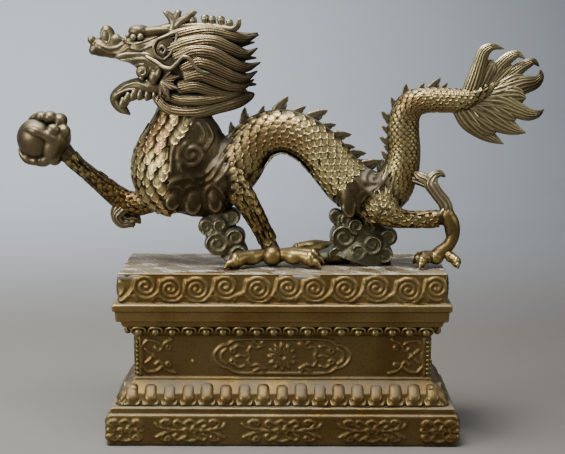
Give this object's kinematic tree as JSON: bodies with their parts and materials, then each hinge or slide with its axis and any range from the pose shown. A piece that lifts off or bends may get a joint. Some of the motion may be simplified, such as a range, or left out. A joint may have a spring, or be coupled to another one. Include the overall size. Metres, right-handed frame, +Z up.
{
  "type": "dragon sculpture",
  "caption": "Cast-brass Chinese dragon with an arched scaly body, raised pearl, cloud scrolls and fanned tail, standing on a moulded rectangular plinth.",
  "frame": {"origin": "centre of the plinth's flat underside", "axes": "+Z up, +X along the plinth towards the tail, so the dragon faces -X and its near side faces -Y"},
  "size_m": [0.3468, 0.0976, 0.274],
  "materials": {
    "plinth_brass": "aged, warm brown patina with grey dust on the ledges",
    "dragon_brass": "aged, pale where rubbed and dark brown in the recesses"
  },
  "bodies": {
    "root": {"plinth": "plinth_brass", "dragon": "dragon_brass"}
  },
  "joints": []
}
